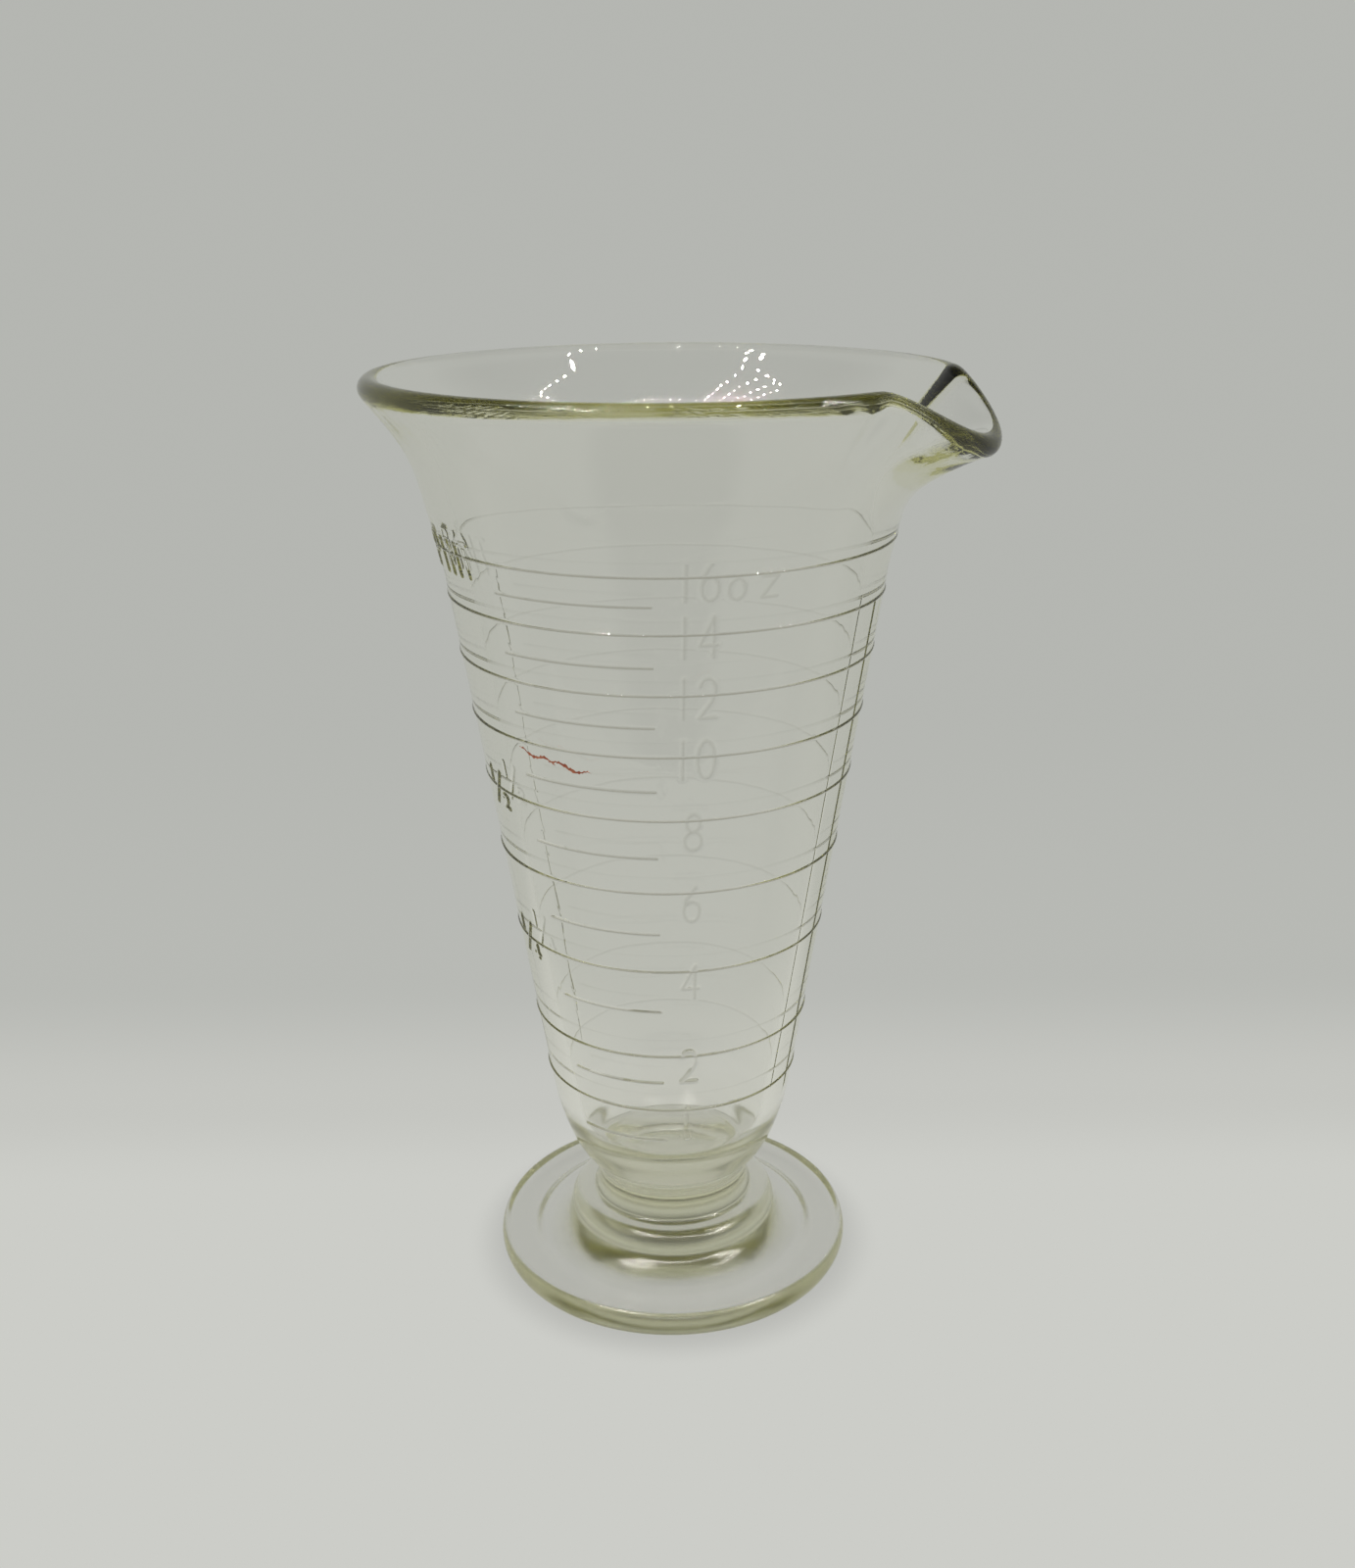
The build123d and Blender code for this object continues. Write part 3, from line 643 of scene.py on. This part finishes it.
def glass_material():
    """Clear soda-lime glass, yellow-green where light runs far inside it, hazy near the foot.

    The rings, short lines and ounce characters are darkened with painted shade, because
    their relief alone reads too faintly. The characters at the left have no painted shade.
    """
    material, nodes, links, shader = new_material("pressed_glass")
    shader.inputs["Base Color"].default_value = CLEAR
    shader.inputs["Transmission Weight"].default_value = 1.0
    shader.inputs["IOR"].default_value = GLASS_IOR
    # painted shade on the raised marks, mixed into the glass colour
    ridge = nodes.new("ShaderNodeAttribute")
    ridge.attribute_name = "painted_ridge_shade"
    marks = nodes.new("ShaderNodeMix")
    marks.data_type = "RGBA"
    marks.inputs[MIX_A].default_value = CLEAR
    marks.inputs[MIX_B].default_value = PAINTED_MARK_SHADE
    links.new(ridge.outputs["Fac"], marks.inputs[MIX_SHARE])
    links.new(marks.outputs[MIX_RESULT], shader.inputs["Base Color"])
    place = nodes.new("ShaderNodeTexCoord")
    height = nodes.new("ShaderNodeSeparateXYZ")
    links.new(place.outputs["Object"], height.inputs["Vector"])
    softer = nodes.new("ShaderNodeMapRange")
    softer.inputs["From Min"].default_value = HAZE_LOW
    softer.inputs["From Max"].default_value = HAZE_HIGH
    softer.inputs["To Min"].default_value = HAZE_ROUGHNESS
    softer.inputs["To Max"].default_value = 0.0
    links.new(height.outputs["Z"], softer.inputs["Value"])
    noise = nodes.new("ShaderNodeTexNoise")
    noise.inputs["Scale"].default_value = 60.0
    noise.inputs["Detail"].default_value = 3.0
    links.new(place.outputs["Object"], noise.inputs["Vector"])
    haze = nodes.new("ShaderNodeMapRange")
    haze.inputs["From Min"].default_value = 0.45
    haze.inputs["From Max"].default_value = 0.75
    haze.inputs["To Min"].default_value = 0.0
    haze.inputs["To Max"].default_value = 0.035
    links.new(noise.outputs["Fac"], haze.inputs["Value"])
    total = nodes.new("ShaderNodeMath")
    links.new(haze.outputs["Result"], total.inputs[0])
    links.new(softer.outputs["Result"], total.inputs[1])
    links.new(total.outputs["Value"], shader.inputs["Roughness"])
    stretch = nodes.new("ShaderNodeMapping")
    stretch.inputs["Scale"].default_value = (160, 160, 22)
    links.new(place.outputs["Object"], stretch.inputs["Vector"])
    streaks = nodes.new("ShaderNodeTexNoise")
    streaks.inputs["Scale"].default_value = 1.0
    streaks.inputs["Detail"].default_value = 2.0
    links.new(stretch.outputs["Vector"], streaks.inputs["Vector"])
    waves = nodes.new("ShaderNodeBump")
    waves.inputs["Strength"].default_value = 0.25
    waves.inputs["Distance"].default_value = 0.00012
    links.new(streaks.outputs["Fac"], waves.inputs["Height"])
    links.new(waves.outputs["Normal"], shader.inputs["Normal"])
    tint = nodes.new("ShaderNodeVolumeAbsorption")
    tint.inputs["Color"].default_value = ABSORPTION_COLOUR
    tint.inputs["Density"].default_value = ABSORPTION_DENSITY
    links.new(tint.outputs["Volume"], nodes["Material Output"].inputs["Volume"])
    return material


def stain_material():
    """Thin red-brown residue, uneven in colour."""
    material, nodes, links, shader = new_material("dried_residue")
    place = nodes.new("ShaderNodeTexCoord")
    noise = nodes.new("ShaderNodeTexNoise")
    noise.inputs["Scale"].default_value = 700.0
    noise.inputs["Detail"].default_value = 4.0
    links.new(place.outputs["Object"], noise.inputs["Vector"])
    ramp = nodes.new("ShaderNodeValToRGB")
    ramp.color_ramp.elements[0].position = 0.35
    ramp.color_ramp.elements[0].color = (0.42, 0.07, 0.02, 1)
    ramp.color_ramp.elements[1].position = 0.7
    ramp.color_ramp.elements[1].color = (0.70, 0.24, 0.12, 1)
    links.new(noise.outputs["Fac"], ramp.inputs["Fac"])
    links.new(ramp.outputs["Color"], shader.inputs["Base Color"])
    shader.inputs["Roughness"].default_value = 0.6
    return material


# ---- camera, stage and light -------------------------------------------------------------------
def turned(v):
    """A vector given with the camera on the -Y side, in the part's own frame."""
    return Matrix.Rotation(math.radians(SPOUT_TURN), 3, "Z") @ Vector(v)


def add_camera():
    pitch, roll, yaw = (math.radians(x) for x in (CAMERA_PITCH, CAMERA_ROLL, CAMERA_YAW))
    forward = Vector((math.sin(yaw) * math.cos(pitch), math.cos(yaw) * math.cos(pitch),
                      -math.sin(pitch)))
    right = Vector((math.cos(yaw), -math.sin(yaw), 0))
    up = right.cross(forward)
    right_rolled = math.cos(roll) * right + math.sin(roll) * up
    up_rolled = -math.sin(roll) * right + math.cos(roll) * up
    axes = [turned(v) for v in (right_rolled, up_rolled, -forward)]
    data = bpy.data.cameras.new("camera")
    data.sensor_width = 36.0
    data.lens = LENS
    data.clip_start = 0.01
    camera = bpy.data.objects.new("camera", data)
    place = Matrix.Translation(turned((0, -CAMERA_DISTANCE, CAMERA_HEIGHT)))
    camera.matrix_world = place @ Matrix(axes).transposed().to_4x4()
    bpy.context.collection.objects.link(camera)
    bpy.context.scene.camera = camera


def add_object(name, mesh, material):
    piece = bpy.data.objects.new(name, mesh)
    mesh.materials.append(material)
    bpy.context.collection.objects.link(piece)
    return piece


def disc_mesh(name, radius, count):
    mesh = bpy.data.meshes.new(name)
    angles = [2 * math.pi * i / count for i in range(count)]
    rim = [(radius * math.cos(a), radius * math.sin(a), 0) for a in angles]
    mesh.from_pydata(rim, [], [list(range(count))])
    return mesh


def floor_material():
    """Pale paper that darkens behind the measure, as a curved sweep does: painted shade.

    It glows by itself, and the shade round the foot is a painted contact shadow in its glow, not cast.
    """
    material, nodes, links, shader = new_material("pale_sweep")
    nodes.remove(shader)
    place = nodes.new("ShaderNodeTexCoord")
    turn = nodes.new("ShaderNodeMapping")
    turn.inputs["Rotation"].default_value = (0, 0, math.radians(-SPOUT_TURN))
    links.new(place.outputs["Object"], turn.inputs["Vector"])
    split = nodes.new("ShaderNodeSeparateXYZ")
    links.new(turn.outputs["Vector"], split.inputs["Vector"])
    # painted shade: the glow dims towards the back
    ramp = nodes.new("ShaderNodeValToRGB")
    ramp.color_ramp.interpolation = "EASE"
    fade = nodes.new("ShaderNodeMapRange")
    fade.inputs["From Min"].default_value = -0.1
    fade.inputs["From Max"].default_value = 0.5
    links.new(split.outputs["Y"], fade.inputs["Value"])
    links.new(fade.outputs["Result"], ramp.inputs["Fac"])
    ramp.color_ramp.elements.remove(ramp.color_ramp.elements[1])
    for n, (position, colour) in enumerate(SWEEP_STOPS):
        elements = ramp.color_ramp.elements
        element = elements[0] if n == 0 else elements.new(position)
        element.position = position
        element.color = (*colour, 1)
    far = nodes.new("ShaderNodeVectorMath")
    far.operation = "LENGTH"
    links.new(place.outputs["Object"], far.inputs[0])
    # painted contact shadow: the glow dims round the foot
    shade = nodes.new("ShaderNodeMapRange")
    shade.interpolation_type = "SMOOTHSTEP"
    shade.inputs["From Min"].default_value = (FOOT_RADIUS - 3) * MM
    shade.inputs["From Max"].default_value = (FOOT_RADIUS + 9) * MM
    shade.inputs["To Min"].default_value = CONTACT_SHADE
    shade.inputs["To Max"].default_value = 1.0
    links.new(far.outputs["Value"], shade.inputs["Value"])
    glow = nodes.new("ShaderNodeEmission")
    links.new(ramp.outputs["Color"], glow.inputs["Color"])
    links.new(shade.outputs["Result"], glow.inputs["Strength"])
    links.new(glow.outputs["Emission"], nodes["Material Output"].inputs["Surface"])
    return material


def lamp_material():
    """White light of the small lamps of a light panel."""
    material, nodes, links, shader = new_material("panel_lamps")
    nodes.remove(shader)
    glow = nodes.new("ShaderNodeEmission")
    glow.inputs["Color"].default_value = (1.0, 0.97, 0.92, 1)
    glow.inputs["Strength"].default_value = LAMP_GLOW
    links.new(glow.outputs["Emission"], nodes["Material Output"].inputs["Surface"])
    return material


def add_lamp_panel():
    """A frame of small lamps under the tent's ceiling: wide sides, and one row in front and behind."""
    spots = []
    half_x, half_y = PANEL_SIZE[0] / 2, PANEL_SIZE[1] / 2
    for row in range(SIDE_ROWS):
        for n in range(ROW_LAMPS):
            y = -half_y + 2 * half_y * (n + row % 2 / 2) / ROW_LAMPS
            spots += [(side * (half_x - row * ROW_GAP), y) for side in (-1, 1)]
    for n in range(1, CROSS_LAMPS):
        x = -half_x + 2 * half_x * n / CROSS_LAMPS
        spots += [(x, -half_y), (x, half_y)]
    verts, faces = [], []
    for x, y in spots:
        first = len(verts)
        for k in range(LAMP_SIDES):
            a = 2 * math.pi * k / LAMP_SIDES
            spot = turned((PANEL_SIDE + x + LAMP_RADIUS * math.cos(a),
                           PANEL_CENTRE + y + LAMP_RADIUS * math.sin(a), PANEL_HEIGHT))
            verts.append(tuple(spot))
        faces.append(list(range(first, first + LAMP_SIDES)))
    mesh = bpy.data.meshes.new("lamp_panel")
    mesh.from_pydata(verts, [], faces)
    panel = add_object("lamp_panel", mesh, lamp_material())
    # the lamps show in reflections only, not through the glass
    panel.visible_transmission = False
    panel.visible_diffuse = False


def add_stage():
    floor = add_object("floor", disc_mesh("floor", 4.0, 96), floor_material())
    floor.location.z = -0.0002


def world_light():
    """Pale tent all round, with a dark ceiling and the darker opening in front, round the camera."""
    world = bpy.data.worlds.new("tent")
    bpy.context.scene.world = world
    world.use_nodes = True
    nodes, links = world.node_tree.nodes, world.node_tree.links
    place = nodes.new("ShaderNodeTexCoord")
    climb = math.radians(OPENING_HEIGHT)
    opening = turned((0, -math.cos(climb), math.sin(climb)))
    tone = (*BACK_TONE, 1)
    dark_parts = ((opening, OPENING_HALF_WIDTH, 6, OPENING_TONE),
                  ((0, 0, 1), CEILING_HALF_WIDTH, 8, CEILING_TONE))
    for direction, half_width, soft, dark in dark_parts:
        toward = nodes.new("ShaderNodeVectorMath")
        toward.operation = "DOT_PRODUCT"
        toward.inputs[1].default_value = direction
        links.new(place.outputs["Generated"], toward.inputs[0])
        edge = nodes.new("ShaderNodeMapRange")
        edge.inputs["From Min"].default_value = math.cos(math.radians(half_width + soft))
        edge.inputs["From Max"].default_value = math.cos(math.radians(half_width - soft))
        links.new(toward.outputs["Value"], edge.inputs["Value"])
        mix = nodes.new("ShaderNodeMix")
        mix.data_type = "RGBA"
        if isinstance(tone, tuple):
            mix.inputs[MIX_A].default_value = tone
        else:
            links.new(tone, mix.inputs[MIX_A])
        mix.inputs[MIX_B].default_value = (dark, dark, dark * 0.93, 1)
        links.new(edge.outputs["Result"], mix.inputs[MIX_SHARE])
        tone = mix.outputs[MIX_RESULT]
    links.new(tone, nodes["Background"].inputs["Color"])


def stain_mesh():
    """A thin broken smear of dried dirt lying on the wall, beside the ten-ounce ring."""
    draw = random.Random(4)
    verts, faces = [], []
    for start, end, drop in ((-112.0, -99.0, 0.0), (-101.5, -88.0, -1.1)):
        count = 26
        first = len(verts)
        for n in range(count + 1):
            share = n / count
            azimuth = start + (end - start) * share
            wave = 0.45 * math.sin(9 * share + start)
            z = 134.6 + drop - 1.6 * share + wave + draw.uniform(-0.16, 0.16)
            half = (0.16 + 0.30 * draw.random()) * math.sin(math.pi * max(0.03, share)) ** 0.5
            around = math.radians(azimuth)
            for zz, proud in ((z - half, 0.0), (z, 0.05), (z + half, 0.0)):
                r = (float(outside_radius(zz)) + OUTSIDE_RIPPLE + 0.03 + proud) * MM
                verts.append((r * math.cos(around), r * math.sin(around), zz * MM))
        for n in range(count):
            for k in range(2):
                a = first + 3 * n + k
                faces.append((a, a + 3, a + 4, a + 1))
    mesh = bpy.data.meshes.new("dried_smear")
    mesh.from_pydata(verts, [], faces)
    mesh.shade_smooth()
    return mesh


# ---- the scene ---------------------------------------------------------------------------------
bpy.context.scene.view_settings.view_transform = "Standard"
light_paths = bpy.context.scene.cycles
light_paths.max_bounces = 40
light_paths.glossy_bounces = 40
light_paths.transmission_bounces = 40
add_camera()
world_light()
add_stage()
add_lamp_panel()

glass = add_object("glass_body", glass_mesh(), glass_material())
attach(glass, "root")
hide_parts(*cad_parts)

smear = add_object("dried_smear", stain_mesh(), stain_material())
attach(smear, "root")
